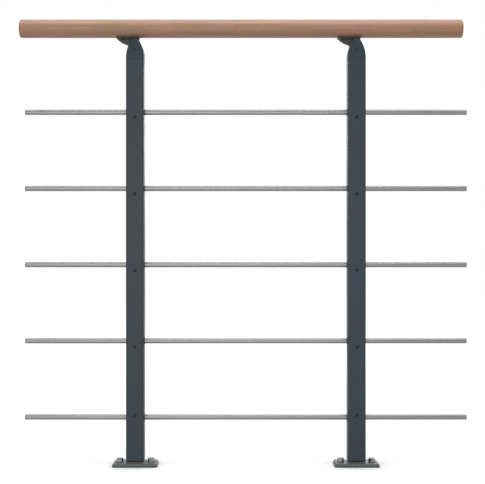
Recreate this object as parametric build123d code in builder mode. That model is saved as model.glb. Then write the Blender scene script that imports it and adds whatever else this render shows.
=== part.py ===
from build123d import *
import math
import os

# A guard for a stair landing. Two square posts stand on bolted feet, five round rods run
# through them, and a round wooden handrail lies on two brackets that are clamped in the
# slotted post heads. Lengths are in millimetres. X runs along the guard, Z is up, and the
# origin is the centre of the underside of the left foot plate.

# Overall layout
post_spacing = 495.0
overall_height = 1000.0

# Handrail
rail_diameter = 41.0
rail_length = 992.0
rail_shift = -10.5
rail_end_radius = 3.5
rail_seat_gap = 0.15

# Rods
rod_diameter = 12.0
rod_wall = 1.5
rod_length = 990.0
rod_count = 5
lowest_rod_height = 108.0
top_rod_drop = 187.5
plug_cap = 1.5
plug_cap_radius = 0.8
plug_depth = 14.0
plug_gap = 0.1

# Bushings in the post walls
bushing_wall = 0.7
bushing_bore_gap = 0.1
bushing_lip_width = 0.7
bushing_lip_thickness = 0.8
bushing_tail = 1.0
bushing_hole_gap = 0.1

# Post tubes
post_size = 40.0
post_wall = 2.5
post_corner_radius = 4.0
least_bore_radius = 0.5

# Screws in the front of the posts, one a rod
rod_screw_diameter = 7.2
rod_screw_length = 8.0
rod_screw_recess = 0.6
rod_screw_socket_width = 3.6
rod_screw_socket_depth = 3.2
rod_screw_gap = 0.1
upper_screw_offset = -12.5
lowest_screw_offset = 7.0

# Feet
plate_length = 100.0
plate_width = 60.0
plate_thickness = 8.0
plate_corner_radius = 6.0
plate_chamfer = 3.5
collar_height = 2.4
seal_inset = 1.2
seal_height = 3.0
seal_bore_gap = 0.2
plug_gap_in_tube = 0.3
foot_plug_height = 45.0
foot_plug_lead = 1.0

# Anchor bolts and washers
anchor_spacing = 70.0
anchor_diameter = 8.0
anchor_hole_diameter = 9.0
anchor_head_width = 13.0
anchor_head_height = 6.4
anchor_head_bevel_angle = 60.0
washer_diameter = 16.0
washer_thickness = 1.6
washer_bore_gap = 0.2

# Post heads
head_straight_height = 5.0
head_arch_radius = 75.0
head_rise = 47.5
head_plug_height = 30.0
slot_width = 12.4
slot_floor_drop = 11.0
head_top_softening = 1.2
head_top_gap = 0.35
head_seam_chamfer = 0.4
slot_edge_chamfer = 0.6

# Pivot bolts
pivot_rise = 23.0
pivot_diameter = 8.0
pivot_head_diameter = 13.0
pivot_head_thickness = 2.5
pivot_socket_width = 5.0
pivot_socket_depth = 1.8
pivot_gap = 0.15

# Rail brackets
saddle_thickness = 4.0
saddle_width = 20.0
saddle_right_reach = 9.0
leaf_reach = 42.0
leaf_tip_depth = 2.0
leaf_plan_radius = 8.0
web_thickness = 8.0
tongue_thickness = 12.0
knuckle_radius = 8.0
web_toe_reach = 38.0
web_toe_depth = 6.2
web_mid_reach = 28.5
web_mid_depth = 12.4
web_heel_reach = 17.0
web_heel_depth = 17.0
web_edge_radius = 1.2
web_overlap = 2.7
saddle_edge_radius = 1.0

# Wood screws under the leaf
wood_screw_reach = 29.0
wood_screw_angle = 20.0
wood_screw_head = 6.6
wood_screw_head_height = 1.8
wood_screw_head_taper = 25.0
wood_screw_shank = 3.5
wood_screw_depth = 12.0
wood_screw_gap = 0.1

# Worked out from the sizes above
rail_radius = rail_diameter / 2
rail_axis_height = overall_height - rail_radius
rod_radius = rod_diameter / 2
middle_x = post_spacing / 2
posts = {"left": 0.0, "right": post_spacing}
rod_pitch = (rail_axis_height - top_rod_drop - lowest_rod_height) / (rod_count - 1)
rod_heights = [lowest_rod_height + rod_pitch * i for i in range(rod_count)]
half_post = post_size / 2
tube_bore = post_size - 2 * post_wall
tube_bore_radius = max(post_corner_radius - post_wall, least_bore_radius)
tube_plug = tube_bore - 2 * plug_gap_in_tube
seal_seat = plate_thickness + collar_height
post_foot = seal_seat + seal_height
bushing_bore_radius = rod_radius + bushing_bore_gap
bushing_radius = bushing_bore_radius + bushing_wall
wall_hole_radius = bushing_radius + bushing_hole_gap
rod_screw_radius = rod_screw_diameter / 2
rod_screw_hole_radius = rod_screw_radius + rod_screw_gap
screw_heights = [h + upper_screw_offset for h in rod_heights]
screw_heights[0] = rod_heights[0] + lowest_screw_offset
head_top = rail_axis_height - rail_radius - rail_seat_gap - saddle_thickness - head_top_gap
head_seat = head_top - head_rise
arch_spring = head_seat + head_straight_height
slot_floor = head_seat + slot_floor_drop
pivot_height = head_seat + pivot_rise
saddle_inner_radius = rail_radius + rail_seat_gap
saddle_outer_radius = saddle_inner_radius + saddle_thickness
saddle_underside = rail_axis_height - saddle_outer_radius
saddle_plan_width = saddle_width * saddle_outer_radius / saddle_inner_radius
rail_underside = rail_axis_height - rail_radius
web_top = saddle_underside + web_overlap
pivot_bore_radius = pivot_diameter / 2 + pivot_gap
seal_size = post_size - 2 * seal_inset
seal_radius = post_corner_radius - seal_inset
seal_bore = tube_plug + 2 * seal_bore_gap
seal_bore_radius = tube_bore_radius + seal_bore_gap
anchor_offsets = {"inner": -anchor_spacing / 2, "outer": anchor_spacing / 2}
bolt_seat = plate_thickness + washer_thickness
rod_bore_radius = rod_radius - rod_wall
pilot_radius = wood_screw_shank / 2 + wood_screw_gap
tight = 0.01
edge_margin = 1.0
hexagon_sides = 6
straight_down = 270.0


def write(piece, name):
    piece.part.label = name
    export_step(piece.part, "parts/" + name + ".step")


os.makedirs("parts", exist_ok=True)

# The handrail is one turned length of wood, bored for the bracket screws
screw_turn = math.radians(wood_screw_angle)
screw_direction_y = math.sin(screw_turn)
screw_direction_z = math.cos(screw_turn)


def wood_screw_planes(post_x):
    """One plane a screw, with its origin on the leaf's outer face and its normal outwards."""
    planes = []
    for side in (-1, 1):
        outward = (0, side * screw_direction_y, -screw_direction_z)
        origin = (
            post_x - wood_screw_reach,
            outward[1] * saddle_outer_radius,
            rail_axis_height + outward[2] * saddle_outer_radius,
        )
        planes.append(Plane(origin=origin, x_dir=(1, 0, 0), z_dir=outward))
    return planes


screw_planes = {side: wood_screw_planes(x) for side, x in posts.items()}
rail_centre_x = middle_x + rail_shift
pilot_depth = saddle_thickness + rail_seat_gap + wood_screw_depth
with BuildPart() as handrail:
    with BuildSketch(Plane.YZ.offset(rail_centre_x - rail_length / 2)):
        with Locations((0, rail_axis_height)):
            Circle(rail_radius)
    extrude(amount=rail_length)
    fillet(handrail.edges().filter_by(GeomType.CIRCLE), rail_end_radius)
    for plane in screw_planes["left"] + screw_planes["right"]:
        with BuildSketch(plane.offset(wood_screw_gap)):
            Circle(pilot_radius)
        extrude(amount=-pilot_depth - 2 * wood_screw_gap, mode=Mode.SUBTRACT)
write(handrail, "handrail")

for side, post_x in posts.items():
    # The post is a length of square tube, bored for the rods and for their screws
    with BuildPart() as post:
        with BuildSketch(Plane.XY.offset(post_foot)):
            with Locations((post_x, 0)):
                RectangleRounded(post_size, post_size, post_corner_radius)
                RectangleRounded(tube_bore, tube_bore, tube_bore_radius, mode=Mode.SUBTRACT)
        extrude(amount=head_seat - post_foot)
        with BuildSketch(Plane.YZ.offset(post_x - half_post)):
            with Locations([(0, h) for h in rod_heights]):
                Circle(wall_hole_radius)
        extrude(amount=post_size, mode=Mode.SUBTRACT)
        with BuildSketch(Plane.XZ.offset(half_post)):
            with Locations([(post_x, h) for h in screw_heights]):
                Circle(rod_screw_hole_radius)
        extrude(amount=-2 * post_wall, mode=Mode.SUBTRACT)
    write(post, side + "_post")

    # The head's front view is a pointed arch with a flat top. A slot along X takes the
    # bracket's tongue, and a plug below enters the tube
    rise_above_spring = head_top - arch_spring
    arch_inset = head_arch_radius - math.sqrt(head_arch_radius**2 - rise_above_spring**2)
    half_top = half_post - arch_inset
    with BuildPart() as post_head:
        with BuildSketch(Plane.XZ.offset(-half_post)):
            with BuildLine():
                foot_line = Line(
                    (post_x - half_post, head_seat), (post_x + half_post, head_seat)
                )
                right_line = Line(foot_line @ 1, (post_x + half_post, arch_spring))
                right_arc = RadiusArc(
                    right_line @ 1, (post_x + half_top, head_top), -head_arch_radius
                )
                top_line = Line(right_arc @ 1, (post_x - half_top, head_top))
                left_arc = RadiusArc(
                    top_line @ 1, (post_x - half_post, arch_spring), -head_arch_radius
                )
                Line(left_arc @ 1, foot_line @ 0)
            make_face()
        extrude(amount=post_size)
        outline_edges = (
            post_head.faces()
            .filter_by(Axis.Y)
            .edges()
            .filter_by(lambda e: e.center().Z > head_seat + edge_margin)
            .filter_by(lambda e: e.center().Z < head_top - edge_margin)
        )
        fillet(outline_edges, post_corner_radius)
        fillet(
            post_head.faces().sort_by(Axis.Z)[-1].edges(), head_top_softening
        )
        with BuildSketch(Plane.XY.offset(slot_floor)):
            with Locations((post_x, 0)):
                Rectangle(post_size * 2, slot_width)
        extrude(amount=head_rise, mode=Mode.SUBTRACT)
        slot_rims = (
            post_head.faces()
            .filter_by(Plane.XZ)
            .filter_by(lambda f: abs(abs(f.center().Y) - slot_width / 2) < tight)
            .edges()
            .filter_by(lambda e: e.center().Z > slot_floor + edge_margin)
        )
        chamfer(slot_rims, slot_edge_chamfer)
        chamfer(post_head.faces().sort_by(Axis.Z)[0].edges(), head_seam_chamfer)
        with BuildSketch(Plane.XZ.offset(-half_post)):
            with Locations((post_x, pivot_height)):
                Circle(pivot_bore_radius)
        extrude(amount=post_size, mode=Mode.SUBTRACT)
        for face_plane in (Plane.XZ.offset(half_post), Plane.XZ.offset(-half_post)):
            inwards = -1 if face_plane.origin.Y < 0 else 1
            with BuildSketch(face_plane):
                with Locations((post_x, pivot_height)):
                    Circle(pivot_head_diameter / 2 + pivot_gap)
            extrude(amount=inwards * pivot_head_thickness, mode=Mode.SUBTRACT)
        with BuildSketch(Plane.XY.offset(head_seat)):
            with Locations((post_x, 0)):
                RectangleRounded(tube_plug, tube_plug, tube_bore_radius)
        extrude(amount=-head_plug_height)
    write(post_head, side + "_post_head")

    # The bracket is one casting: a saddle round the underside of the rail, a tapering web
    # under its leaf, and a tongue that ends in a round knuckle in the head's slot
    saddle_half_angle = math.degrees(math.asin(saddle_width / 2 / saddle_inner_radius))
    saddle_length = leaf_reach + saddle_right_reach
    leaf_tip_x = post_x - leaf_reach
    saddle_section = Plane((leaf_tip_x, 0, rail_axis_height), x_dir=(0, 1, 0), z_dir=(1, 0, 0))
    first_angle = straight_down - saddle_half_angle
    with BuildPart() as rail_bracket:
        with BuildSketch(saddle_section):
            with BuildLine():
                inner_arc = CenterArc(
                    (0, 0), saddle_inner_radius, first_angle, 2 * saddle_half_angle
                )
                outer_arc = CenterArc(
                    (0, 0), saddle_outer_radius, first_angle, 2 * saddle_half_angle
                )
                Line(inner_arc @ 0, outer_arc @ 0)
                Line(inner_arc @ 1, outer_arc @ 1)
            make_face()
        extrude(amount=saddle_length)
        with BuildSketch(Plane.XY.offset(saddle_underside)):
            with Locations((leaf_tip_x + saddle_length / 2, 0)):
                RectangleRounded(saddle_length, 2 * saddle_outer_radius, leaf_plan_radius)
                Rectangle(saddle_length, saddle_plan_width, mode=Mode.INTERSECT)
        extrude(amount=saddle_outer_radius, mode=Mode.INTERSECT)
        with BuildSketch(Plane.XZ.offset(-web_thickness / 2)):
            with BuildLine():
                Polyline(
                    (post_x - web_toe_reach, web_top),
                    (post_x - web_toe_reach, rail_underside - web_toe_depth),
                    (post_x - web_mid_reach, rail_underside - web_mid_depth),
                    (post_x - web_heel_reach, rail_underside - web_heel_depth),
                    (post_x - knuckle_radius, pivot_height),
                    (post_x + knuckle_radius, pivot_height),
                    (post_x + knuckle_radius, web_top),
                    close=True,
                )
            make_face()
        extrude(amount=web_thickness)
        with BuildSketch(Plane.XZ.offset(-tongue_thickness / 2)):
            with Locations((post_x, pivot_height)):
                Circle(knuckle_radius)
            with Locations((post_x, (pivot_height + web_top) / 2)):
                Rectangle(2 * knuckle_radius, web_top - pivot_height)
        extrude(amount=tongue_thickness)
        below_saddle = rail_bracket.edges().filter_by(
            lambda e: e.center().Z < saddle_underside - tight
        )
        web_rims = below_saddle.filter_by(
            lambda e: abs(abs(e.center().Y) - web_thickness / 2) < tight
            and abs(e.tangent_at(0.5).Y) < tight
            and e.center().X < post_x - knuckle_radius - tight
        )
        fillet(web_rims, web_edge_radius)
        saddle_rims = (
            rail_bracket.edges()
            .filter_by(Axis.X)
            .filter_by(lambda e: abs(abs(e.center().Y) - saddle_plan_width / 2) < tight)
        )
        fillet(saddle_rims, saddle_edge_radius)
        with BuildSketch(Plane.XZ.offset(-half_post)):
            with Locations((post_x, pivot_height)):
                Circle(pivot_bore_radius)
        extrude(amount=post_size, mode=Mode.SUBTRACT)
        with BuildSketch(Plane.XZ.offset(-half_post)):
            with BuildLine():
                Polyline(
                    (leaf_tip_x, rail_underside - leaf_tip_depth),
                    (post_x - web_toe_reach, rail_underside - web_toe_depth),
                    (leaf_tip_x, rail_underside - web_toe_depth),
                    close=True,
                )
            make_face()
        extrude(amount=post_size, mode=Mode.SUBTRACT)
        for plane in screw_planes[side]:
            with BuildSketch(plane.offset(wood_screw_gap)):
                Circle(pilot_radius)
            extrude(amount=-2 * saddle_thickness, mode=Mode.SUBTRACT)
    write(rail_bracket, side + "_rail_bracket")

    # The pivot bolt has a flat disc at each end, flush with the faces of the head
    with BuildPart() as bracket_pivot:
        with BuildSketch(Plane.XZ.offset(-half_post)):
            with Locations((post_x, pivot_height)):
                Circle(pivot_diameter / 2)
        extrude(amount=post_size)
        with BuildSketch(Plane.XZ.offset(half_post)):
            with Locations((post_x, pivot_height)):
                Circle(pivot_head_diameter / 2)
        extrude(amount=-pivot_head_thickness)
        with BuildSketch(Plane.XZ.offset(-half_post)):
            with Locations((post_x, pivot_height)):
                Circle(pivot_head_diameter / 2)
        extrude(amount=pivot_head_thickness)
        with BuildSketch(Plane.XZ.offset(half_post)):
            with Locations((post_x, pivot_height)):
                RegularPolygon(pivot_socket_width / 2, hexagon_sides, major_radius=False)
        extrude(amount=-pivot_socket_depth, mode=Mode.SUBTRACT)
    write(bracket_pivot, side + "_bracket_pivot")

    # Two wood screws hold the leaf to the rail, square to its curved face
    with BuildPart() as bracket_screws:
        for plane in screw_planes[side]:
            with BuildSketch(plane.offset(wood_screw_gap)):
                Circle(wood_screw_shank / 2)
            extrude(amount=-pilot_depth)
            with BuildSketch(plane.offset(wood_screw_gap)):
                Circle(wood_screw_head / 2)
            extrude(amount=wood_screw_head_height, taper=wood_screw_head_taper)
    write(bracket_screws, side + "_bracket_screws")

    # The foot is a chamfered plate with a low collar and a plug that the tube slides over
    with BuildPart() as base_plate:
        with BuildSketch(Plane.XY):
            with Locations((post_x, 0)):
                RectangleRounded(plate_length, plate_width, plate_corner_radius)
        extrude(amount=plate_thickness)
        chamfer(base_plate.faces().sort_by(Axis.Z)[-1].edges(), plate_chamfer)
        with BuildSketch(Plane.XY.offset(plate_thickness)):
            with Locations((post_x, 0)):
                RectangleRounded(seal_size, seal_size, seal_radius)
        extrude(amount=collar_height)
        with BuildSketch(Plane.XY.offset(seal_seat)):
            with Locations((post_x, 0)):
                RectangleRounded(tube_plug, tube_plug, tube_bore_radius)
        extrude(amount=seal_height + foot_plug_height)
        chamfer(base_plate.faces().sort_by(Axis.Z)[-1].edges(), foot_plug_lead)
        with BuildSketch(Plane.XY):
            with Locations([(post_x + dx, 0) for dx in anchor_offsets.values()]):
                Circle(anchor_hole_diameter / 2)
        extrude(amount=plate_thickness, mode=Mode.SUBTRACT)
    write(base_plate, side + "_base_plate")

    # A black rubber seal between the collar and the tube shows as a dark line
    with BuildPart() as tube_seal:
        with BuildSketch(Plane.XY.offset(seal_seat)):
            with Locations((post_x, 0)):
                RectangleRounded(seal_size, seal_size, seal_radius)
                RectangleRounded(seal_bore, seal_bore, seal_bore_radius, mode=Mode.SUBTRACT)
        extrude(amount=seal_height)
    write(tube_seal, side + "_tube_seal")

    # A hexagon bolt and its washer at each end of the foot
    for place, offset_x in anchor_offsets.items():
        anchor_x = post_x + (offset_x if side == "right" else -offset_x)
        with BuildPart() as washer:
            with BuildSketch(Plane.XY.offset(plate_thickness)):
                with Locations((anchor_x, 0)):
                    Circle(washer_diameter / 2)
                    Circle(anchor_diameter / 2 + washer_bore_gap, mode=Mode.SUBTRACT)
            extrude(amount=washer_thickness)
        write(washer, side + "_" + place + "_anchor_washer")

        with BuildPart() as anchor_bolt:
            with BuildSketch(Plane.XY.offset(bolt_seat)):
                with Locations((anchor_x, 0)):
                    RegularPolygon(anchor_head_width / 2, hexagon_sides, major_radius=False)
            extrude(amount=anchor_head_height)
            with BuildSketch(Plane.XY.offset(bolt_seat + anchor_head_height)):
                with Locations((anchor_x, 0)):
                    Circle(anchor_head_width / 2)
            extrude(
                amount=-anchor_head_height,
                taper=-anchor_head_bevel_angle,
                mode=Mode.INTERSECT,
            )
            with BuildSketch(Plane.XY.offset(bolt_seat)):
                with Locations((anchor_x, 0)):
                    Circle(anchor_diameter / 2)
            extrude(amount=-bolt_seat)
        write(anchor_bolt, side + "_" + place + "_anchor_bolt")

    # One socket screw a rod, sunk a little in the front wall of the post
    with BuildPart() as rod_screws:
        with BuildSketch(Plane.XZ.offset(half_post - rod_screw_recess)):
            with Locations([(post_x, h) for h in screw_heights]):
                Circle(rod_screw_radius)
        extrude(amount=-rod_screw_length)
        with BuildSketch(Plane.XZ.offset(half_post - rod_screw_recess)):
            with Locations([(post_x, h) for h in screw_heights]):
                RegularPolygon(rod_screw_socket_width / 2, hexagon_sides, major_radius=False)
        extrude(amount=-rod_screw_socket_depth, mode=Mode.SUBTRACT)
    write(rod_screws, side + "_rod_screws")

rod_left_end = middle_x - rod_length / 2
rod_right_end = middle_x + rod_length / 2
for number, height in enumerate(rod_heights, start=1):
    # A rod is one straight tube through both posts
    with BuildPart() as rod:
        with BuildSketch(Plane.YZ.offset(rod_left_end + plug_cap)):
            with Locations((0, height)):
                Circle(rod_radius)
                Circle(rod_bore_radius, mode=Mode.SUBTRACT)
        extrude(amount=rod_length - 2 * plug_cap)
    write(rod, "rod_" + str(number))

    # A plug closes each end of the rod: a low cap and a stem in the bore
    with BuildPart() as end_plugs:
        for end_x, inwards in ((rod_left_end, 1), (rod_right_end, -1)):
            with BuildSketch(Plane.YZ.offset(end_x)):
                with Locations((0, height)):
                    Circle(rod_radius)
            extrude(amount=inwards * plug_cap)
            with BuildSketch(Plane.YZ.offset(end_x + inwards * plug_cap)):
                with Locations((0, height)):
                    Circle(rod_bore_radius - plug_gap)
            extrude(amount=inwards * plug_depth)
        rims = end_plugs.edges().filter_by(GeomType.CIRCLE).group_by(Axis.X)
        fillet(rims[0] + rims[-1], plug_cap_radius)
    write(end_plugs, "rod_" + str(number) + "_end_plugs")

    # A bushing lines each hole in the post walls, with a thin lip on the outside
    with BuildPart() as bushings:
        for post_x in posts.values():
            for outwards in (-1, 1):
                wall_x = post_x + outwards * half_post
                with BuildSketch(Plane.YZ.offset(wall_x)):
                    with Locations((0, height)):
                        Circle(bushing_radius + bushing_lip_width)
                        Circle(bushing_bore_radius, mode=Mode.SUBTRACT)
                extrude(amount=outwards * bushing_lip_thickness)
                with BuildSketch(Plane.YZ.offset(wall_x)):
                    with Locations((0, height)):
                        Circle(bushing_radius)
                        Circle(bushing_bore_radius, mode=Mode.SUBTRACT)
                extrude(amount=-outwards * (post_wall + bushing_tail))
    write(bushings, "rod_" + str(number) + "_bushings")
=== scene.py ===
# %% [markdown]
# # A landing guard in wood, coated steel and stainless rod
# The guard is about a metre long and a metre high: two square posts on bolted feet, five thin
# rods and a round wooden handrail. The construction is already made, so this lesson only gives
# each piece its finish, and makes finer versions of the turned and bolted pieces.

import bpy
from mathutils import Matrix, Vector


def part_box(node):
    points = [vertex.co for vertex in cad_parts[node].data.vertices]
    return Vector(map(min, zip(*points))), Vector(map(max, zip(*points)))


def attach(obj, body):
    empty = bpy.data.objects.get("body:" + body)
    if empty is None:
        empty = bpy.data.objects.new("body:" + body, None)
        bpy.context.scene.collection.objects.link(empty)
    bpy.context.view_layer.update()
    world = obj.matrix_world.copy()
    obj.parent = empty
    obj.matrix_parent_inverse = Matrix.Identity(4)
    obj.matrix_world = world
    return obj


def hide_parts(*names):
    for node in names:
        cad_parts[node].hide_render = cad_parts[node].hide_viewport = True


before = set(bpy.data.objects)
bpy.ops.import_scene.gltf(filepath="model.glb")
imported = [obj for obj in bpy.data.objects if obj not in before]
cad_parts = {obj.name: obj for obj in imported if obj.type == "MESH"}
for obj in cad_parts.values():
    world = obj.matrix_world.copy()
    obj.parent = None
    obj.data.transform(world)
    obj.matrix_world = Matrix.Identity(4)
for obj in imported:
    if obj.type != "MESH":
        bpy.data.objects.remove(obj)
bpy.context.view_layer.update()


# %% [markdown]
# Lengths below are in metres, as everywhere in Blender, but it is easier to think of screws and
# tubes in millimetres. One small constant lets the code say `4 * MM`.

# %% Units and helpers that the whole lesson uses
import math

import bpy
from mathutils import Vector

MM = 0.001


def linear(red, green, blue):
    """A colour given as 0 to 255 screen values, turned into the linear values a shader wants."""
    def one(value):
        c = value / 255
        return c / 12.92 if c <= 0.04045 else ((c + 0.055) / 1.055) ** 2.4
    return (one(red), one(green), one(blue), 1.0)


def node_middle(name):
    low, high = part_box(name)
    return (low + high) / 2


# %% [markdown]
# Only small forms that it doesn't have, such as a groove, get their own.

# %% Measure the posts, rods and handrail
SIDES = ("left", "right")
ROD_NUMBERS = (1, 2, 3, 4, 5)
post_middles = {side: node_middle(side + "_post") for side in SIDES}
post_low, post_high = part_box("left_post")
half_post = (post_high.x - post_low.x) / 2
rod_middles = {n: node_middle("rod_%d" % n) for n in ROD_NUMBERS}
rod_low, rod_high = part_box("rod_1")
rod_radius = (rod_high.z - rod_low.z) / 2
rod_length = rod_high.x - rod_low.x
rail_low, rail_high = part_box("handrail")
rail_radius = (rail_high.z - rail_low.z) / 2
rail_length = rail_high.x - rail_low.x
rail_middle = (rail_low + rail_high) / 2
print("post %.0f mm wide, rods %.0f mm thick" % (2 * half_post / MM, 2 * rod_radius / MM))
print("rail %.0f mm thick and %.0f mm long" % (2 * rail_radius / MM, rail_length / MM))

# %% [markdown]
# ## The camera
# The photograph looks straight at the guard from about two and a half metres, at half its
# height. A long lens at that distance keeps the uprights parallel.

# %% Place the camera
VIEW_DISTANCE = 2.5
VIEW_HEIGHT = 0.501
VIEW_SIDE = 0.240
FRAME_WIDTH_THERE = 1.0890
SENSOR = 36.0

camera_data = bpy.data.cameras.new("camera")
camera_data.sensor_width = SENSOR
camera_data.lens = SENSOR * VIEW_DISTANCE / FRAME_WIDTH_THERE
camera = bpy.data.objects.new("camera", camera_data)
camera.location = (VIEW_SIDE, -VIEW_DISTANCE, VIEW_HEIGHT)
camera.rotation_euler = (math.radians(90), 0, 0)
bpy.context.scene.collection.objects.link(camera)
bpy.context.scene.camera = camera
print("lens %.1f mm" % camera_data.lens)

# %% [markdown]
# ## Small builders for trees
# Shader trees and Geometry Nodes trees are both long lists of "add a node, set it, link it".
# One helper does all three, so that the code below reads like a parts list: a plain value is
# set on the node, and a socket of another node is linked to it.

# %% A helper that adds one node
def put(tree, kind, values=None, **settings):
    node = tree.nodes.new(kind)
    for key, value in settings.items():
        setattr(node, key, value)
    for key, value in (values or {}).items():
        socket = node.inputs[key]
        if isinstance(value, bpy.types.NodeSocket):
            tree.links.new(value, socket)
        else:
            socket.default_value = value
    return node


# %% [markdown]
# A few nodes come back all the time: sums, a range mapped on another, two colours mixed, and
# noise. Each gets a short form that hands back the one output that matters. The Mix node keeps
# its colours on sockets 6 and 7 and gives the mixed colour on output 2, so that is written here
# once and nowhere else.

# %% Short forms for the nodes used most
def math_node(tree, operation, first, second=0.0, third=0.0):
    values = {0: first, 1: second, 2: third}
    return put(tree, "ShaderNodeMath", values, operation=operation).outputs[0]


def map_range(tree, value, from_low=0.0, from_high=1.0, to_low=0.0, to_high=1.0):
    values = {
        "Value": value,
        "From Min": from_low,
        "From Max": from_high,
        "To Min": to_low,
        "To Max": to_high,
    }
    return put(tree, "ShaderNodeMapRange", values).outputs[0]


def mix_colours(tree, share, first, second):
    values = {"Factor": share, 6: first, 7: second}
    return put(tree, "ShaderNodeMix", values, data_type="RGBA").outputs[2]


def noise(tree, vector, scale, detail, roughness=0.5):
    values = {"Vector": vector, "Scale": scale, "Detail": detail, "Roughness": roughness}
    return put(tree, "ShaderNodeTexNoise", values).outputs["Fac"]


# %% [markdown]
# ## Light and background
# A catalogue photograph is lit by a big soft lamp overhead and pale walls around. The world
# gives the even fill. A white that only the eye and the mirror directions see keeps the
# background pure without washing out the guard.

# %% Make the world
FILL = 0.55
FILL_COLOUR = (0.97, 0.98, 1.0, 1)
WHITE = (1, 1, 1, 1)
bpy.context.scene.view_settings.view_transform = "Standard"
world = bpy.data.worlds.new("studio")
bpy.context.scene.world = world
world.use_nodes = True
tree = world.node_tree
tree.nodes.clear()
rays = put(tree, "ShaderNodeLightPath").outputs
looks = math_node(tree, "MAXIMUM", rays["Is Camera Ray"], rays["Is Glossy Ray"])
looks = math_node(tree, "MAXIMUM", looks, rays["Is Transmission Ray"])
fill = put(tree, "ShaderNodeBackground", {"Color": FILL_COLOUR, "Strength": FILL})
seen = put(tree, "ShaderNodeBackground", {"Color": WHITE, "Strength": 1.0})
choose = put(tree, "ShaderNodeMixShader", {"Fac": looks, 1: fill.outputs[0], 2: seen.outputs[0]})
put(tree, "ShaderNodeOutputWorld", {"Surface": choose.outputs[0]})
print("world fill", FILL)

# %% [markdown]
# Three lamps shape the rounds. The overhead one draws the light line on the rail. The front one
# stands low, so that the posts are as light at the foot as at the head, and the back one does
# the same for whoever walks round the guard. Each lamp's place starts with how far it stands
# to the right of the guard's middle, then how far behind it and how far above the floor.

# %% Hang the lamps
LAMPS = {
    "overhead": {"place": (0.0, -0.3, 3.0), "aim": 0.5, "size": (2.4, 1.6), "watts": 41},
    "front": {"place": (-0.4, -2.6, 0.55), "aim": 0.1, "size": (2.0, 1.2), "watts": 20},
    "back": {"place": (0.6, 3.0, 1.4), "aim": 0.45, "size": (2.0, 1.4), "watts": 23},
}
middle = (post_middles["left"] + post_middles["right"]) / 2
for name, lamp in LAMPS.items():
    data = bpy.data.lights.new(name, "AREA")
    data.shape = "RECTANGLE"
    data.size, data.size_y = lamp["size"]
    data.energy = lamp["watts"]
    holder = bpy.data.objects.new(name, data)
    across, back, up = lamp["place"]
    holder.location = (middle.x + across, back, up)
    direction = Vector((middle.x, 0, lamp["aim"])) - Vector((middle.x + across, back, up))
    holder.rotation_euler = direction.to_track_quat("-Z", "Y").to_euler()
    bpy.context.scene.collection.objects.link(holder)
print("lamps:", list(LAMPS))

# %% [markdown]
# ## Floor
# The floor is plain and white to the eye, but it still takes the soft contact shadow of the
# feet: a pale matt part that darkens in shade, and a little glow that only the eye and the
# mirror directions see. The lamps reach the floor near the guard, so there the glow is weak,
# and further off it makes up for their fall-off. The glow also fades where the guard stands
# close over the floor, or it would fill in the dark line under each foot; this fading paints
# a contact shadow on top of the real one. For the light that bounces up on the guard the
# paper is greyer, so the undersides stay shaded.

# %% Lay the floor
FLOOR_SIZE = 14.0
half = FLOOR_SIZE / 2
floor_mesh = bpy.data.meshes.new("floor")
corners = [
    (middle.x + sx * half, sy * half, 0) for sx, sy in ((-1, -1), (1, -1), (1, 1), (-1, 1))
]
floor_mesh.from_pydata(corners, [], [(0, 1, 2, 3)])
floor = bpy.data.objects.new("floor", floor_mesh)
bpy.context.scene.collection.objects.link(floor)

# %% Give the floor its paper
FLOOR_SEEN = (0.85, 0.85, 0.85, 1)
FLOOR_BOUNCE = (0.42, 0.42, 0.42, 1)
GLOW_NEAR, GLOW_FAR = 0.28, 0.56
LAMPS_REACH, LAMPS_END = 1.5, 3.3
SHADE_REACH = 0.06
SHADE_POWER = 3.0
floor_material = bpy.data.materials.new("floor_paper")
floor_material.use_nodes = True
tree = floor_material.node_tree
tree.nodes.clear()
rays = put(tree, "ShaderNodeLightPath").outputs
looks = math_node(tree, "MAXIMUM", rays["Is Camera Ray"], rays["Is Glossy Ray"])
place = put(tree, "ShaderNodeTexCoord")
away = put(
    tree,
    "ShaderNodeVectorMath",
    {0: place.outputs["Object"], 1: (middle.x, 0, 0)},
    operation="DISTANCE",
)
level = map_range(tree, away.outputs["Value"], LAMPS_REACH, LAMPS_END, GLOW_NEAR, GLOW_FAR)
# Ambient occlusion cuts the glow near the feet: a painted contact shadow under each foot.
shade = put(tree, "ShaderNodeAmbientOcclusion", {"Distance": SHADE_REACH})
open_sky = math_node(tree, "POWER", shade.outputs["AO"], SHADE_POWER)
strength = math_node(tree, "MULTIPLY", looks, level)
strength = math_node(tree, "MULTIPLY", strength, open_sky)
paper = mix_colours(tree, looks, FLOOR_BOUNCE, FLOOR_SEEN)
matt = put(tree, "ShaderNodeBsdfDiffuse", {"Color": paper})
glow = put(tree, "ShaderNodeEmission", {"Strength": strength})
both = put(tree, "ShaderNodeAddShader", {0: matt.outputs[0], 1: glow.outputs[0]})
put(tree, "ShaderNodeOutputMaterial", {"Surface": both.outputs[0]})
floor_mesh.materials.append(floor_material)
print("floor", FLOOR_SIZE, "m square")

# %% [markdown]
# ## Effects shared by several finishes
# Coated steel, cast feet and plated bolts all show the same two things up close. Their edges
# are never quite sharp, so a thin line of them catches the light, and their surface has a fine
# relief. Each effect is a node group, built once and given its own values in each material.

# %% Start a shader group with named sockets
NUMBER, COLOUR, VECTOR = "NodeSocketFloat", "NodeSocketColor", "NodeSocketVector"


def shader_group(name, inputs, outputs):
    group = bpy.data.node_groups.new(name, "ShaderNodeTree")
    for label, kind, default in inputs:
        socket = group.interface.new_socket(name=label, in_out="INPUT", socket_type=kind)
        socket.default_value = default
    for label, kind in outputs:
        group.interface.new_socket(name=label, in_out="OUTPUT", socket_type=kind)
    return group, put(group, "NodeGroupInput").outputs, put(group, "NodeGroupOutput").inputs
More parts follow.
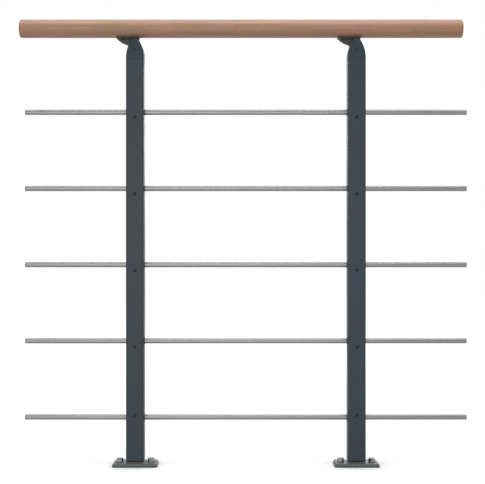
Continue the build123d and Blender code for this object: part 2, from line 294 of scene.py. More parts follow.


# %% [markdown]
# The edge group compares the true surface direction with a rounded one. Where they differ the
# surface is near an edge. It gives that as a mask, for rubbed coating and a painted edge
# highlight, and hands on the rounded direction so that edges catch the light.

# %% Build the edge group
EDGE_SAMPLES = 6
EDGE_STARTS, EDGE_FULL = 0.02, 0.16
edges_group, given, result = shader_group(
    "soft_edges",
    [("Radius", NUMBER, 0.4 * MM), ("Breakup Scale", NUMBER, 300.0)],
    [("Mask", NUMBER), ("Normal", VECTOR)],
)
rounded = put(edges_group, "ShaderNodeBevel", {"Radius": given["Radius"]}, samples=EDGE_SAMPLES)
true_face = put(edges_group, "ShaderNodeNewGeometry")
alike = put(
    edges_group,
    "ShaderNodeVectorMath",
    {0: rounded.outputs[0], 1: true_face.outputs["Normal"]},
    operation="DOT_PRODUCT",
)
differs = math_node(edges_group, "SUBTRACT", 1.0, alike.outputs["Value"])
place = put(edges_group, "ShaderNodeTexCoord")
patchy = noise(edges_group, place.outputs["Object"], given["Breakup Scale"], 3.0)
broken = math_node(edges_group, "MULTIPLY", differs, patchy)
mask = map_range(edges_group, broken, EDGE_STARTS, EDGE_FULL)
edges_group.links.new(mask, result["Mask"])
edges_group.links.new(rounded.outputs[0], result["Normal"])

# %% [markdown]
# The relief group makes a fine grain at a given size. Powder coating sets with a skin like
# orange peel about a millimetre across, and a sand casting has a coarser, deeper one. A second,
# larger noise shades the colour and the gloss a little, because no coat is quite even.

# %% Build the relief group
GRAIN_IN_SHADE = 0.35
SHADE_STARTS, SHADE_FULL = 0.5, 0.85
relief_group, given, result = shader_group(
    "fine_relief",
    [
        ("Colour", COLOUR, (0.1, 0.1, 0.1, 1)),
        ("Second Colour", COLOUR, (0.1, 0.1, 0.1, 1)),
        ("Grain Scale", NUMBER, 900.0),
        ("Grain Height", NUMBER, 0.02 * MM),
        ("Cloud Scale", NUMBER, 14.0),
        ("Gloss Low", NUMBER, 0.35),
        ("Gloss High", NUMBER, 0.5),
        ("Normal", VECTOR, (0, 0, 0)),
    ],
    [("Colour", COLOUR), ("Roughness", NUMBER), ("Normal", VECTOR)],
)
place = put(relief_group, "ShaderNodeTexCoord")
grain = noise(relief_group, place.outputs["Object"], given["Grain Scale"], 3.0, 0.55)
cloud = noise(relief_group, place.outputs["Object"], given["Cloud Scale"], 5.0)
mixed = math_node(relief_group, "MULTIPLY_ADD", grain, GRAIN_IN_SHADE, cloud)
share = map_range(relief_group, mixed, SHADE_STARTS, SHADE_FULL)
tint = mix_colours(relief_group, share, given["Colour"], given["Second Colour"])
gloss = map_range(
    relief_group, share, to_low=given["Gloss Low"], to_high=given["Gloss High"]
)
bump = put(
    relief_group,
    "ShaderNodeBump",
    {"Height": grain, "Distance": given["Grain Height"], "Normal": given["Normal"]},
)
relief_group.links.new(tint, result["Colour"])
relief_group.links.new(gloss, result["Roughness"])
relief_group.links.new(bump.outputs[0], result["Normal"])
print("shared effects:", [g.name for g in bpy.data.node_groups])

# %% [markdown]
# ## Coated and plated metals
# One function writes every coated or plated finish, because they differ only in values: what
# the coat is, how coarse its grain is, how glossy it is and how far its edges are rubbed and
# lightened with a painted highlight.
# Whether a metal is bare or coated is set straight on the shader. The black nylon and rubber
# of the small trim have the same kind of skin, so they are written by it too.

# %% A function for metal finishes
BARE, COATED = 1.0, 0.0


def start_material(name):
    material = bpy.data.materials.new(name)
    material.use_nodes = True
    return material, material.node_tree, material.node_tree.nodes["Principled BSDF"]


def metal_finish(name, colours, edge_rub_and_highlight, grain, cloud, gloss, metallic, edge_radius, specular=0.5):
    """edge_rub_and_highlight is (colour, amount), for rubbed edges and a painted edge highlight;
    grain is (scale, height) and gloss is (lowest, highest).
    """
    material, tree, shader = start_material(name)
    edges = put(tree, "ShaderNodeGroup", {"Radius": edge_radius}, node_tree=edges_group)
    relief = put(
        tree,
        "ShaderNodeGroup",
        {
            "Colour": colours[0], "Second Colour": colours[1],
            "Grain Scale": grain[0], "Grain Height": grain[1], "Cloud Scale": cloud,
            "Gloss Low": gloss[0], "Gloss High": gloss[1], "Normal": edges.outputs["Normal"],
        },
        node_tree=relief_group,
    )
    # The edge mask lightens the colour: partly rubbed coating, partly a painted edge highlight.
    edge_rub_and_highlight_share = math_node(tree, "MULTIPLY", edges.outputs["Mask"], edge_rub_and_highlight[1])
    worn_and_highlit = mix_colours(tree, edge_rub_and_highlight_share, relief.outputs["Colour"], edge_rub_and_highlight[0])
    tree.links.new(worn_and_highlit, shader.inputs["Base Color"])
    tree.links.new(relief.outputs["Roughness"], shader.inputs["Roughness"])
    tree.links.new(relief.outputs["Normal"], shader.inputs["Normal"])
    shader.inputs["Metallic"].default_value = metallic
    shader.inputs["Specular IOR Level"].default_value = specular
    return material


# %% [markdown]
# The posts and heads are powder coated in a blue-grey anthracite, satin and very even. The
# brackets are a neutral dark grey, and the castings under the posts a plainer grey with a
# sandier skin.

# %% Make the coated finishes
post_coat = metal_finish(
    "anthracite_powder_coat", (linear(51, 61, 69), linear(58, 68, 76)),
    edge_rub_and_highlight=(linear(96, 104, 112), 0.5), grain=(1100.0, 0.03 * MM), cloud=9.0,
    gloss=(0.40, 0.50), metallic=COATED, edge_radius=0.5 * MM, specular=0.2,
)
head_coat = metal_finish(
    "anthracite_coat_on_casting", (linear(44, 55, 64), linear(51, 62, 71)),
    edge_rub_and_highlight=(linear(98, 106, 112), 0.55), grain=(800.0, 0.04 * MM), cloud=18.0,
    gloss=(0.42, 0.54), metallic=COATED, edge_radius=0.7 * MM, specular=0.2,
)
bracket_coat = metal_finish(
    "dark_coat_on_bracket", (linear(68, 67, 67), linear(76, 75, 74)),
    edge_rub_and_highlight=(linear(96, 98, 98), 0.5), grain=(900.0, 0.04 * MM), cloud=30.0,
    gloss=(0.42, 0.55), metallic=COATED, edge_radius=0.5 * MM, specular=0.25,
)
foot_coat = metal_finish(
    "grey_foot_casting", (linear(62, 66, 68), linear(77, 81, 82)),
    edge_rub_and_highlight=(linear(140, 143, 145), 0.7), grain=(620.0, 0.08 * MM), cloud=40.0,
    gloss=(0.42, 0.58), metallic=COATED, edge_radius=0.9 * MM,
)

# %% [markdown]
# The bolts and washers are zinc plated, which is bare metal to the light: bright, with a faint
# cloudy bloom. The screws are black oxide, the bushings nylon and the seals rubber, each a
# little less glossy than the last. The seals' black is partly the rubber's own colour and partly
# painted shade for the dark line under each post.

# %% Make the finishes of the small parts
washer_zinc = metal_finish(
    "zinc_plating_on_washer", (linear(130, 132, 134), linear(166, 168, 169)),
    edge_rub_and_highlight=(linear(200, 201, 202), 0.8), grain=(700.0, 0.02 * MM), cloud=120.0,
    gloss=(0.3, 0.5), metallic=BARE, edge_radius=0.2 * MM,
)
zinc_plate = metal_finish(
    "zinc_plating", (linear(120, 122, 124), linear(158, 160, 161)),
    edge_rub_and_highlight=(linear(196, 197, 198), 0.8), grain=(500.0, 0.02 * MM), cloud=160.0,
    gloss=(0.28, 0.46), metallic=BARE, edge_radius=0.3 * MM,
)
black_oxide = metal_finish(
    "black_oxide", (linear(16, 17, 18), linear(25, 26, 27)),
    edge_rub_and_highlight=(linear(70, 70, 70), 0.5), grain=(900.0, 0.02 * MM), cloud=220.0,
    gloss=(0.38, 0.52), metallic=COATED, edge_radius=0.2 * MM, specular=0.3,
)
nylon = metal_finish(
    "black_nylon", (linear(28, 29, 31), linear(34, 35, 37)),
    edge_rub_and_highlight=(linear(60, 60, 62), 0.3), grain=(1400.0, 0.02 * MM), cloud=120.0,
    gloss=(0.5, 0.62), metallic=COATED, edge_radius=0.15 * MM,
)
# The seal's black stands in partly for the shade in the gap under each post: painted shade.
seal_rubber_and_shade = metal_finish(
    "black_rubber_and_painted_shade", (linear(24, 24, 25), linear(31, 31, 32)),
    edge_rub_and_highlight=(linear(52, 52, 52), 0.3), grain=(1200.0, 0.05 * MM), cloud=90.0,
    gloss=(0.62, 0.78), metallic=COATED, edge_radius=0.25 * MM, specular=0.3,
)
print("finishes so far:", [m.name for m in bpy.data.materials if m is not floor_material])

# %% [markdown]
# ## Stainless rod
# Drawn stainless rod is brushed along its length. The brush lines are long, thin streaks: noise
# squeezed many times along X. They change the gloss more than the colour.

# %% Build the brush-line group
HAZE_SCALE = 7.0
HAZE_IN_GLOSS = 0.4
LINE_STARTS, LINE_FULL = 0.3, 0.7
LINE_DEPTH = 0.01 * MM
brush_group, given, result = shader_group(
    "brush_lines",
    [
        ("Dark", COLOUR, (0.2, 0.2, 0.2, 1)),
        ("Light", COLOUR, (0.3, 0.3, 0.3, 1)),
        ("Stretch", VECTOR, (18.0, 2600.0, 2600.0)),
        ("Gloss Low", NUMBER, 0.26),
        ("Gloss High", NUMBER, 0.4),
    ],
    [("Colour", COLOUR), ("Roughness", NUMBER), ("Normal", VECTOR)],
)
place = put(brush_group, "ShaderNodeTexCoord")
along = put(
    brush_group,
    "ShaderNodeMapping",
    {"Vector": place.outputs["Object"], "Scale": given["Stretch"]},
)
lines = noise(brush_group, along.outputs[0], 1.0, 4.0, 0.65)
haze = noise(brush_group, place.outputs["Object"], HAZE_SCALE, 3.0)
clear_lines = map_range(brush_group, lines, LINE_STARTS, LINE_FULL)
tint = mix_colours(brush_group, clear_lines, given["Dark"], given["Light"])
mixed = math_node(brush_group, "MULTIPLY_ADD", haze, HAZE_IN_GLOSS, clear_lines)
rough = map_range(
    brush_group, mixed, 0.0, 1.0 + HAZE_IN_GLOSS, given["Gloss Low"], given["Gloss High"]
)
bump = put(brush_group, "ShaderNodeBump", {"Height": lines, "Distance": LINE_DEPTH})
brush_group.links.new(tint, result["Colour"])
brush_group.links.new(rough, result["Roughness"])
brush_group.links.new(bump.outputs[0], result["Normal"])


# %% [markdown]
# The rods are brushed lengthways. Their plugs are turned on a lathe, so their marks run in no
# one direction and are hardly drawn out.

# %% Make the two stainless finishes
def stainless(name, dark, light, stretch, gloss):
    material, tree, shader = start_material(name)
    brushed = put(
        tree,
        "ShaderNodeGroup",
        {
            "Dark": dark, "Light": light, "Stretch": stretch,
            "Gloss Low": gloss[0], "Gloss High": gloss[1],
        },
        node_tree=brush_group,
    )
    tree.links.new(brushed.outputs["Colour"], shader.inputs["Base Color"])
    tree.links.new(brushed.outputs["Roughness"], shader.inputs["Roughness"])
    tree.links.new(brushed.outputs["Normal"], shader.inputs["Normal"])
    shader.inputs["Metallic"].default_value = BARE
    return material


rod_steel = stainless(
    "brushed_stainless", linear(114, 114, 113), linear(142, 142, 140),
    stretch=(18.0, 2600.0, 2600.0), gloss=(0.26, 0.4),
)
cap_steel = stainless(
    "turned_stainless", linear(106, 106, 105), linear(130, 130, 128),
    stretch=(900.0, 900.0, 900.0), gloss=(0.3, 0.42),
)
print("stainless finishes:", rod_steel.name, cap_steel.name)

# %% [markdown]
# ## Beech
# The rail is turned from one length of beech and lacquered. Beech is a pinkish tan with
# straight, quiet grain: broad streaks of pinker and yellower wood, fine growth rings, and the
# short dark flecks that give it away. All of it is solid texture, cut from one imagined plank,
# so the rings also show on the rounded ends.

# %% Start the beech with its broad streaks
PITH_OFFSET = (0.0, 0.085, -0.055)
GRAIN_TILT = (0.0, math.radians(0.7), math.radians(-0.9))
STREAKS = {0.34: linear(152, 119, 86), 0.5: linear(168, 125, 96), 0.66: linear(181, 128, 104)}
beech, tree, shader = start_material("lacquered_beech")
place = put(tree, "ShaderNodeTexCoord")
centred = put(
    tree,
    "ShaderNodeMapping",
    {
        "Vector": place.outputs["Object"],
        "Location": tuple(PITH_OFFSET[i] - rail_middle[i] for i in range(3)),
        "Rotation": GRAIN_TILT,
    },
)


def drawn_out(scale):
    """The plank's own space, squeezed so that a pattern comes out long along the rail."""
    values = {"Vector": centred.outputs[0], "Scale": scale}
    return put(tree, "ShaderNodeMapping", values).outputs[0]


streaks = noise(tree, drawn_out((9.0, 130.0, 130.0)), 1.0, 3.0)
tone = put(tree, "ShaderNodeValToRGB", {"Fac": streaks})
ramp = tone.color_ramp.elements
(first, yellower), (between, middling), (last, pinker) = sorted(STREAKS.items())
ramp[0].position, ramp[0].color = first, yellower
ramp[1].position, ramp[1].color = last, pinker
ramp.new(between).color = middling

# %% Add growth rings, fibres and flecks
RING_BROWN = linear(130, 92, 68)
FIBRE_BROWN = linear(124, 88, 66)
FLECK_BROWN = linear(96, 64, 46)
RING_AMOUNT, FIBRE_AMOUNT, FLECK_AMOUNT = 0.3, 0.22, 0.75
rings = put(
    tree,
    "ShaderNodeTexWave",
    {
        "Vector": drawn_out((0.06, 1.0, 1.0)),
        "Scale": 120.0,
        "Distortion": 3.0,
        "Detail": 3.0,
        "Detail Scale": 14.0,
        "Detail Roughness": 0.55,
    },
    wave_type="RINGS",
    rings_direction="X",
    wave_profile="SAW",
).outputs["Fac"]
ring_share = map_range(tree, rings, 0.35, 1.0, 0.0, RING_AMOUNT)
ringed = mix_colours(tree, ring_share, tone.outputs[0], RING_BROWN)
fibres = noise(tree, drawn_out((45.0, 1900.0, 1900.0)), 1.0, 3.0, 0.6)
fibre_share = map_range(tree, fibres, 0.35, 0.75, 0.0, FIBRE_AMOUNT)
fibred = mix_colours(tree, fibre_share, ringed, FIBRE_BROWN)
flecks = noise(tree, drawn_out((260.0, 1500.0, 1500.0)), 1.0, 1.0, 0.4)
fleck_share = map_range(tree, flecks, 0.64, 0.72, 0.0, FLECK_AMOUNT)
flecked = mix_colours(tree, fleck_share, fibred, FLECK_BROWN)

# %% [markdown]
# A cut across the grain drinks more lacquer than the sides do. So the two ends of the rail are
# darker, and their growth rings stand out. The place along the rail tells an end from a side.

# %% Darken the end grain
END_BROWN = linear(112, 84, 64)
END_GRAIN_STARTS = 3.0 * MM
END_GRAIN_FULL = 0.3 * MM
BETWEEN_RINGS, ON_RINGS = 0.25, 0.8
spot = put(tree, "ShaderNodeSeparateXYZ", {"Vector": place.outputs["Object"]})
off_middle = math_node(tree, "SUBTRACT", spot.outputs["X"], rail_middle.x)
off_middle = math_node(tree, "ABSOLUTE", off_middle)
end_share = map_range(
    tree, off_middle, rail_length / 2 - END_GRAIN_STARTS, rail_length / 2 - END_GRAIN_FULL
)
ring_lines = map_range(tree, rings, to_low=BETWEEN_RINGS, to_high=ON_RINGS)
end_dark = math_node(tree, "MULTIPLY", end_share, ring_lines)
end_grained = mix_colours(tree, end_dark, flecked, END_BROWN)

# %% Join the beech layers and lacquer them
LACQUER = 0.2
LACQUER_ROUGHNESS = 0.3
PORE_DEPTH = 0.03 * MM
SATIN_LOW, SATIN_HIGH = 0.42, 0.58
satin = map_range(tree, fibres, to_low=SATIN_LOW, to_high=SATIN_HIGH)
relief = math_node(tree, "SUBTRACT", fibres, fleck_share)
bump = put(tree, "ShaderNodeBump", {"Height": relief, "Distance": PORE_DEPTH})
tree.links.new(end_grained, shader.inputs["Base Color"])
tree.links.new(satin, shader.inputs["Roughness"])
tree.links.new(bump.outputs[0], shader.inputs["Normal"])
shader.inputs["Coat Weight"].default_value = LACQUER
shader.inputs["Coat Roughness"].default_value = LACQUER_ROUGHNESS
print("beech nodes:", len(tree.nodes))

# %% [markdown]
# ## Finish the pieces that stay as they are
# The posts, heads, brackets, pivots, foot castings and seals already have their true shape, so
# each only gets its finish.

# %% Give the construction its finishes
KEPT_FINISHES = {
    "post": post_coat,
    "post_head": head_coat,
    "rail_bracket": bracket_coat,
    "bracket_pivot": head_coat,
    "base_plate": foot_coat,
    "tube_seal": seal_rubber_and_shade,
}
for side in SIDES:
    for part, finish in KEPT_FINISHES.items():
        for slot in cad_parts[side + "_" + part].material_slots:
            slot.material = finish
print("finished as built:", [side + "_" + part for side in SIDES for part in KEPT_FINISHES])


# %% [markdown]
# ## Geometry Nodes for what is turned and what repeats
# Every round piece here can be drawn as if a lathe had turned it: the rail, rods, plugs,
# bushings, washers and screws. The node lathe draws half of the section as a line, rounds its
# corners and carries it round a circle. Each tree below has its sizes as named inputs, and
# copies its piece to every place.

# %% Start a tree with named sizes
def size_tree(name, sizes):
    """Gives back the tree and its inputs. The sizes are also what the inputs start with."""
    tree = bpy.data.node_groups.new(name, "GeometryNodeTree")
    geometry = "NodeSocketGeometry"
    tree.interface.new_socket(name="Places", in_out="INPUT", socket_type=geometry)
    for label, size in sizes.items():
        socket = tree.interface.new_socket(name=label, in_out="INPUT", socket_type=NUMBER)
        socket.default_value = size
    tree.interface.new_socket(name="Pieces", in_out="OUTPUT", socket_type=geometry)
    return tree, put(tree, "NodeGroupInput").outputs


def pick_by_index(tree, values):
    index = put(tree, "GeometryNodeInputIndex").outputs[0]
    switch = put(tree, "GeometryNodeIndexSwitch", data_type="FLOAT")
    while len(switch.index_switch_items) < len(values):
        switch.index_switch_items.new()
    tree.links.new(index, switch.inputs["Index"])
    for position, value in enumerate(values, start=1):
        if isinstance(value, bpy.types.NodeSocket):
            tree.links.new(value, switch.inputs[position])
        else:
            switch.inputs[position].default_value = value
    return switch.outputs[0]


# %% [markdown]
# Curve to Mesh carries the section round a circle of one metre radius. So each radius in the
# section is drawn as its distance from that circle, and the heights run downwards. The faces
# come out pointing inwards, so they are flipped, and the poles and the seam are merged.

# %% A lathe made of nodes
UNIT_CIRCLE = 1.0
MERGE_WITHIN = 0.001 * MM


def lathe(tree, section, rounding, steps=64, corner_steps=4, closed=False):
    """section is a list of (radius, height); it starts and ends on the axis unless closed."""
    radii = [math_node(tree, "SUBTRACT", radius, UNIT_CIRCLE) for radius, height in section]
    heights = [math_node(tree, "MULTIPLY", height, -1.0) for radius, height in section]
    line = put(tree, "GeometryNodeMeshLine", {"Count": len(section)})
    point = put(
        tree,
        "ShaderNodeCombineXYZ",
        {"X": pick_by_index(tree, radii), "Y": pick_by_index(tree, heights)},
    )
    drawn = put(
        tree,
        "GeometryNodeSetPosition",
        {"Geometry": line.outputs[0], "Position": point.outputs[0]},
    )
    curve = put(tree, "GeometryNodeMeshToCurve", {"Mesh": drawn.outputs[0]}).outputs[0]
    if closed:
        values = {"Geometry": curve, "Cyclic": True}
        curve = put(tree, "GeometryNodeSetSplineCyclic", values).outputs[0]
    eased = put(
        tree,
        "GeometryNodeFilletCurve",
        {"Curve": curve, "Count": corner_steps, "Radius": rounding, "Limit Radius": True},
        mode="POLY",
    )
    circle = put(
        tree, "GeometryNodeCurvePrimitiveCircle", {"Resolution": steps, "Radius": UNIT_CIRCLE}
    )
    skin = put(
        tree,
        "GeometryNodeCurveToMesh",
        {"Curve": circle.outputs[0], "Profile Curve": eased.outputs[0]},
    )
    turned_out = put(tree, "GeometryNodeFlipFaces", {"Mesh": skin.outputs[0]})
    return put(
        tree,
        "GeometryNodeMergeByDistance",
        {"Geometry": turned_out.outputs[0], "Distance": MERGE_WITHIN},
    ).outputs[0]


# %% [markdown]
# Each place is a point with two notes on it: which way the piece faces, and how far it is
# turned about its own axis. The last nodes copy the piece to every point, make the copies real
# and give them their finish.

# %% Copy a piece to its places
def note(tree, name, kind):
    return put(tree, "GeometryNodeInputNamedAttribute", {"Name": name}, data_type=kind).outputs[0]


def copy_to_places(tree, geometry, places, material):
    facing, turn = note(tree, "facing", "FLOAT_VECTOR"), note(tree, "turn", "FLOAT")
    spin = put(tree, "FunctionNodeAxisAngleToRotation", {"Axis": (0, 0, 1), "Angle": turn})
    aim = put(tree, "FunctionNodeAlignRotationToVector", {"Vector": facing}, axis="Z")
    both = put(
        tree,
        "FunctionNodeRotateRotation",
        {"Rotation": aim.outputs[0], "Rotate By": spin.outputs[0]},
        rotation_space="LOCAL",
    )
    copies = put(
        tree,
        "GeometryNodeInstanceOnPoints",
        {"Points": places, "Instance": geometry, "Rotation": both.outputs[0]},
    )
    real = put(tree, "GeometryNodeRealizeInstances", {"Geometry": copies.outputs[0]})
    dressed = put(
        tree, "GeometryNodeSetMaterial", {"Geometry": real.outputs[0], "Material": material}
    )
    put(tree, "NodeGroupOutput", {0: dressed.outputs[0]})


# %% [markdown]
# The places are a mesh of loose points, and the tree runs on it as a modifier. The result is
# copied out as a plain mesh, the modifier and the points go, and the new piece rides on the
# guard's one body in place of the plainer pieces.

# %% Run a tree and keep its mesh
SMOOTH_UP_TO = math.radians(32)


def make_pieces(name, tree, places, sizes, replaced):
    """places is a list of (position, facing, turn)."""
    points = bpy.data.meshes.new(name + "_places")
    points.from_pydata([tuple(p) for p, facing, turn in places], [], [])
    points.attributes.new("facing", "FLOAT_VECTOR", "POINT")
    points.attributes.new("turn", "FLOAT", "POINT")
    for i, (position, facing, turn) in enumerate(places):
        points.attributes["facing"].data[i].vector = facing
        points.attributes["turn"].data[i].value = turn
    holder = bpy.data.objects.new(name + "_holder", points)
    bpy.context.scene.collection.objects.link(holder)
    modifier = holder.modifiers.new("pieces", "NODES")
    modifier.node_group = tree
    for item in tree.interface.items_tree:
        if item.in_out == "INPUT" and item.name in sizes:
            modifier[item.identifier] = float(sizes[item.name])
    evaluated = holder.evaluated_get(bpy.context.evaluated_depsgraph_get())
    mesh = bpy.data.meshes.new_from_object(evaluated)
    holder.modifiers.clear()
    bpy.data.objects.remove(holder)
    mesh.name = name
    for polygon in mesh.polygons:
        polygon.use_smooth = True
    mesh.set_sharp_from_angle(angle=SMOOTH_UP_TO)
    piece = bpy.data.objects.new(name, mesh)
    bpy.context.scene.collection.objects.link(piece)
    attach(piece, "root")
    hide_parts(*replaced)
    triangles = sum(len(p.vertices) - 2 for p in mesh.polygons)
    print(name, "places", len(places), "triangles", triangles)


# %% [markdown]
# ## Handrail and rods
# Both are plain round bars with eased ends, so one function writes their trees. The rail's ends
# are rounded over by three and a half millimetres, as a hand would expect. The rods are cut
# square and only deburred.

# %% Turn the rail and draw the rods
RAIL_END_ROUNDING = 3.5 * MM
ROD_DEBURR = 0.35 * MM


def bar_tree(name, bar, material, steps):
    tree, sizes = size_tree(name, bar)
    radius, length = sizes["Radius"], sizes["Length"]
    section = [(0.0, 0.0), (radius, 0.0), (radius, length), (0.0, length)]
    body = lathe(tree, section, sizes["End Rounding"], steps=steps, corner_steps=8)
    copy_to_places(tree, body, sizes["Places"], material)
    return tree


rail = {"Radius": rail_radius, "Length": rail_length, "End Rounding": RAIL_END_ROUNDING}
make_pieces(
    "handrail_turned",
    bar_tree("turned_rail", rail, beech, 128),
    [((rail_low.x, rail_middle.y, rail_middle.z), (1, 0, 0), 0.0)],
    rail,
    ["handrail"],
)
rod = {"Radius": rod_radius, "Length": rod_length, "End Rounding": ROD_DEBURR}
make_pieces(
    "rods_drawn",
    bar_tree("drawn_rods", rod, rod_steel, 48),
    [((rod_low.x, 0, rod_middles[n].z), (1, 0, 0), 0.0) for n in ROD_NUMBERS],
    rod,
    ["rod_%d" % n for n in ROD_NUMBERS],
)

# %% [markdown]
# ## Rod plugs and bushings
# A plug closes each rod end with a low turned cap, sunk a little in the middle. A black nylon
# bushing lines each hole in the posts, and only its thin lip shows.

# %% Turn the plugs
PLUG_GROOVE = 0.4 * MM
PLUG_ROUNDING = 0.5 * MM
RIM_SHARE, SUNK_SHARE = 0.62, 0.5
plug_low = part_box("rod_1_end_plugs")[0]
plug = {
    "Radius": rod_radius, "Cap": rod_low.x - plug_low.x,
    "Groove": PLUG_GROOVE, "Rounding": PLUG_ROUNDING,
}
tree, sizes = size_tree("rod_plugs", plug)
radius, cap_height = sizes["Radius"], sizes["Cap"]
rim = math_node(tree, "MULTIPLY", radius, RIM_SHARE)
sunk = math_node(tree, "MULTIPLY", radius, SUNK_SHARE)
sunk_height = math_node(tree, "SUBTRACT", cap_height, sizes["Groove"])
cap = lathe(
    tree,
    [
        (0.0, 0.0), (radius, 0.0), (radius, cap_height),
        (rim, cap_height), (sunk, sunk_height), (0.0, sunk_height),
    ],
    sizes["Rounding"],
    steps=40,
)
copy_to_places(tree, cap, sizes["Places"], cap_steel)
plug_places = []
for n in ROD_NUMBERS:
    plug_places.append(((rod_low.x, 0, rod_middles[n].z), (-1, 0, 0), 0.0))
    plug_places.append(((rod_high.x, 0, rod_middles[n].z), (1, 0, 0), 0.0))
make_pieces(
    "rod_plugs_turned",
    tree,
    plug_places,
    plug,
    ["rod_%d_end_plugs" % n for n in ROD_NUMBERS],
)

# %% Turn the bushings
BORE_GAP = 0.05 * MM
LIP_WIDTH = 0.7 * MM
SLEEVE_DEPTH = 3.5 * MM
BUSHING_ROUNDING = 0.3 * MM
bushing_low, bushing_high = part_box("rod_1_bushings")
lip_radius = (bushing_high.z - bushing_low.z) / 2
bushing = {
    "Bore": rod_radius + BORE_GAP, "Sleeve": lip_radius - LIP_WIDTH, "Lip": lip_radius,
    "Lip Thickness": bushing_high.x - (post_middles["right"].x + half_post),
    "Depth": SLEEVE_DEPTH, "Rounding": BUSHING_ROUNDING,
}
tree, sizes = size_tree("wall_bushings", bushing)
below = math_node(tree, "MULTIPLY", sizes["Depth"], -1.0)
ring = lathe(
    tree,
    [
        (sizes["Bore"], below), (sizes["Sleeve"], below),
        (sizes["Sleeve"], 0.0), (sizes["Lip"], 0.0),
        (sizes["Lip"], sizes["Lip Thickness"]), (sizes["Bore"], sizes["Lip Thickness"]),
    ],
    sizes["Rounding"],
    steps=40,
    corner_steps=3,
    closed=True,
)
copy_to_places(tree, ring, sizes["Places"], nylon)
bushing_places = []
for n in ROD_NUMBERS:
    for side in SIDES:
        for outwards in (-1, 1):
            at = (post_middles[side].x + outwards * half_post, 0, rod_middles[n].z)
            bushing_places.append((at, (outwards, 0, 0), 0.0))
make_pieces(
    "wall_bushings_turned",
    tree,
    bushing_places,
    bushing,
    ["rod_%d_bushings" % n for n in ROD_NUMBERS],
)

# %% [markdown]
# ## Bolts, washers and screws
# A hexagon head starts as a six-sided prism. The forge leaves its top corners cut by a cone,
# which is what gives a real bolt its curved shoulders, so the prism is cut by a turned shape.
# No fitter leaves four bolts at the same angle, so each is turned a few degrees of its own.

# %% Bolt heads with their shoulders
FLATS_TO_CORNERS = 2 / math.sqrt(3)
SHOULDER = 1.3 * MM
FLAT_TOP_SHARE = 0.475
CUTTER_MARGIN = 0.01
ANCHOR_TURNS = {"left_outer": 6, "left_inner": -8, "right_outer": 9, "right_inner": -4}
bolt_low, bolt_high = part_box("left_inner_anchor_bolt")
washer_low, washer_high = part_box("left_inner_anchor_washer")
washer_thickness = washer_high.z - washer_low.z
bolt = {
    "Flats": bolt_high.y - bolt_low.y, "Head": bolt_high.z - washer_high.z,
    "Shoulder": SHOULDER, "Washer Thickness": washer_thickness,
}
tree, sizes = size_tree("anchor_bolts", bolt)
flats, head_height = sizes["Flats"], sizes["Head"]
corner_radius = math_node(tree, "MULTIPLY", flats, FLATS_TO_CORNERS / 2)
prism = put(
    tree,
    "GeometryNodeMeshCylinder",
    {"Vertices": 6, "Radius": corner_radius, "Depth": head_height},
)
half_head = math_node(tree, "MULTIPLY", head_height, 0.5)
lift = math_node(tree, "ADD", half_head, sizes["Washer Thickness"])
raised = put(tree, "ShaderNodeCombineXYZ", {"Z": lift})
prism_up = put(
    tree, "GeometryNodeTransform", {"Geometry": prism.outputs[0], "Translation": raised.outputs[0]}
)
top = math_node(tree, "ADD", head_height, sizes["Washer Thickness"])
shoulder_height = math_node(tree, "SUBTRACT", top, sizes["Shoulder"])
flat_top = math_node(tree, "MULTIPLY", flats, FLAT_TOP_SHARE)
wide = math_node(tree, "MULTIPLY", flats, FLATS_TO_CORNERS / 2 + CUTTER_MARGIN)
cutter = lathe(
    tree,
    [(0.0, 0.0), (wide, 0.0), (wide, shoulder_height), (flat_top, top), (0.0, top)],
    0.0,
    steps=72,
    corner_steps=1,
)
head = put(
    tree, "GeometryNodeMeshBoolean", {"Mesh": prism_up.outputs[0]}, operation="INTERSECT"
)
tree.links.new(cutter, head.inputs["Mesh"])
copy_to_places(tree, head.outputs[0], sizes["Places"], zinc_plate)
anchor_places = []
for anchor, turn in ANCHOR_TURNS.items():
    centre = node_middle(anchor + "_anchor_washer")
    anchor_places.append(((centre.x, centre.y, washer_low.z), (0, 0, 1), math.radians(turn)))
make_pieces(
    "anchor_bolts_forged",
    tree,
    anchor_places,
    bolt,
    [anchor + "_anchor_bolt" for anchor in ANCHOR_TURNS],
)

# %% Washers stamped from sheet, with their edges rolled over
WASHER_BORE_RADIUS = 4.2 * MM
WASHER_ROUNDING = 0.25 * MM
washer = {
    "Radius": (washer_high.x - washer_low.x) / 2, "Thickness": washer_thickness,
    "Bore": WASHER_BORE_RADIUS, "Rounding": WASHER_ROUNDING,
}
tree, sizes = size_tree("anchor_washers", washer)
radius, bore, thickness = sizes["Radius"], sizes["Bore"], sizes["Thickness"]
stamped = lathe(
    tree,
    [(bore, 0.0), (radius, 0.0), (radius, thickness), (bore, thickness)],
    sizes["Rounding"],
    steps=56,
    corner_steps=3,
    closed=True,
)
copy_to_places(tree, stamped, sizes["Places"], washer_zinc)
make_pieces(
    "anchor_washers_stamped",
    tree,
    anchor_places,
    washer,
    [anchor + "_anchor_washer" for anchor in ANCHOR_TURNS],
)

# %% [markdown]
# The screws that lock the rods have a hexagon socket and a chamfered rim, and sit just below
# the face of the post. The socket is cut with a six-sided prism. They too end at any angle.

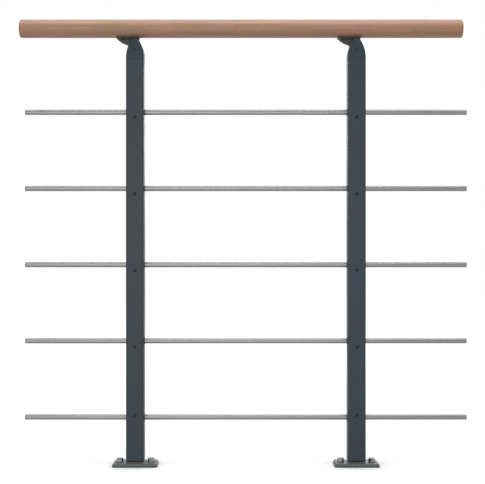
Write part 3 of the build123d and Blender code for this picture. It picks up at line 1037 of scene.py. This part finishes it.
# %% Socket screws in the posts
TURN_STEP = 17
RIGHT_POST_TURN = 8
screw_low, screw_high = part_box("left_rod_screws")
screw_radius = (screw_high.x - screw_low.x) / 2
screw = {
    "Radius": screw_radius, "Length": 6 * MM, "Rim": 0.5 * MM, "Key": 4 * MM, "Socket": 3 * MM,
}
tree, sizes = size_tree("socket_screws", screw)
radius = sizes["Radius"]
rim_radius = math_node(tree, "SUBTRACT", radius, sizes["Rim"])
rim_height = math_node(tree, "MULTIPLY", sizes["Rim"], -1.0)
bottom = math_node(tree, "MULTIPLY", sizes["Length"], -1.0)
blank = lathe(
    tree,
    [(0.0, bottom), (radius, bottom), (radius, rim_height), (rim_radius, 0.0), (0.0, 0.0)],
    0.0,
    steps=48,
    corner_steps=1,
)
key_radius = math_node(tree, "MULTIPLY", sizes["Key"], FLATS_TO_CORNERS / 2)
key_depth = math_node(tree, "MULTIPLY", sizes["Socket"], 2.0)
key = put(
    tree, "GeometryNodeMeshCylinder", {"Vertices": 6, "Radius": key_radius, "Depth": key_depth}
)
cut = put(
    tree,
    "GeometryNodeMeshBoolean",
    {"Mesh 1": blank, "Mesh 2": key.outputs[0]},
    operation="DIFFERENCE",
)
copy_to_places(tree, cut.outputs[0], sizes["Places"], black_oxide)

# %% Place the socket screws
lowest_screw = screw_low.z + screw_radius
highest_screw = screw_high.z - screw_radius
rod_pitch = rod_middles[2].z - rod_middles[1].z
upper_screws = len(ROD_NUMBERS) - 1
screw_heights = [lowest_screw] + [highest_screw - rod_pitch * i for i in range(upper_screws)]
screw_places = []
for side in SIDES:
    side_turn = RIGHT_POST_TURN if side == "right" else 0
    for i, height in enumerate(screw_heights):
        at = (post_middles[side].x, screw_low.y, height)
        screw_places.append((at, (0, -1, 0), math.radians(TURN_STEP * i + side_turn)))
make_pieces(
    "rod_screws_cut",
    tree,
    screw_places,
    screw,
    ["left_rod_screws", "right_rod_screws"],
)

# %% [markdown]
# Two pan-head screws hold each bracket leaf to the rail. They drive in square to the round of
# the rail, so they lean out to the front and to the back. A cross slot is cut in each head.

# %% Pan-head screws under the brackets
CROWN_SHARE = 0.72
PAN_ROUNDING = 0.6 * MM
SLOT_REACH_SHARE = 1.1
pan_head = {"Radius": 3.3 * MM, "Height": 1.8 * MM, "Slot": 1.0 * MM, "Slot Depth": 2.0 * MM}
tree, sizes = size_tree("pan_screws", pan_head)
radius, height = sizes["Radius"], sizes["Height"]
crown = math_node(tree, "MULTIPLY", radius, CROWN_SHARE)
pan = lathe(
    tree,
    [(0.0, 0.0), (radius, 0.0), (crown, height), (0.0, height)],
    PAN_ROUNDING,
    steps=40,
    corner_steps=5,
)
slot_length = math_node(tree, "MULTIPLY", radius, SLOT_REACH_SHARE)
slot_size = put(
    tree, "ShaderNodeCombineXYZ", {"X": slot_length, "Y": sizes["Slot"], "Z": sizes["Slot Depth"]}
)
bar = put(tree, "GeometryNodeMeshCube", {"Size": slot_size.outputs[0]})
slot_up = put(tree, "ShaderNodeCombineXYZ", {"Z": height})
first = put(
    tree, "GeometryNodeTransform", {"Geometry": bar.outputs[0], "Translation": slot_up.outputs[0]}
)
second = put(
    tree,
    "GeometryNodeTransform",
    {"Geometry": first.outputs[0], "Rotation": (0, 0, math.radians(90))},
)
for slot_bar in (first, second):
    pan = put(
        tree,
        "GeometryNodeMeshBoolean",
        {"Mesh 1": pan, "Mesh 2": slot_bar.outputs[0]},
        operation="DIFFERENCE",
    ).outputs[0]
copy_to_places(tree, pan, sizes["Places"], black_oxide)

# %% Place the pan-head screws
SCREW_LEAN = math.radians(20)
TURN_PER_LEAN = 3
LEAF_THICKNESS = 4.0 * MM
SEAT_GAPS = 0.25 * MM
head_seat_radius = rail_radius + LEAF_THICKNESS + SEAT_GAPS
pan_places = []
for side in SIDES:
    across = node_middle(side + "_bracket_screws").x
    for lean in (-SCREW_LEAN, SCREW_LEAN):
        out = Vector((0, math.sin(lean), -math.cos(lean)))
        at = Vector((across, rail_middle.y, rail_middle.z)) + out * head_seat_radius
        pan_places.append((at, out, lean * TURN_PER_LEAN))
make_pieces(
    "bracket_screws_cut",
    tree,
    pan_places,
    pan_head,
    ["left_bracket_screws", "right_bracket_screws"],
)
